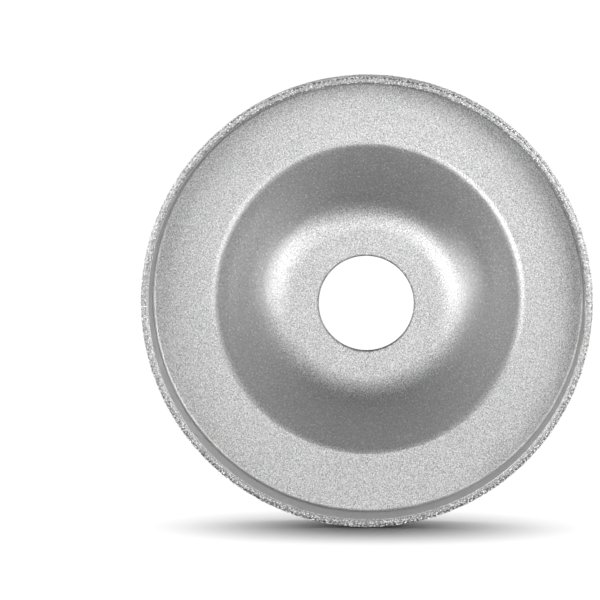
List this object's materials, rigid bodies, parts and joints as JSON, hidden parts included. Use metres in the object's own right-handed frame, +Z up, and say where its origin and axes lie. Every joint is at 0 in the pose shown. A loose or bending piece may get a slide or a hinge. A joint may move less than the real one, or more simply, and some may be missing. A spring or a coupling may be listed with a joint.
{
  "type": "diamond grinding wheel",
  "caption": "Cup-shaped diamond grinding wheel: a pressed steel dish with a central bore and a diamond-coated face, shoulder and rim.",
  "frame": {"origin": "centre of the arbor bore, halfway through the plate", "axes": "Y is the wheel's axis: the mounting side looks along -Y and the working face along +Y; +Z is up"},
  "size_m": [0.096, 0.0146, 0.096],
  "materials": {
    "body_steel": "fine-blasted steel with a satin silver finish",
    "nickel_braze": "rough silver-grey braze",
    "diamond_grit": "coarse sparkling grit wetted with silver braze"
  },
  "bodies": {
    "root": {"steel_body": "body_steel", "bond_layer": "nickel_braze", "face_grit": "diamond_grit", "shoulder_grit": "diamond_grit", "wall_grit": "diamond_grit", "rim_edge_grit": "diamond_grit"}
  },
  "joints": []
}
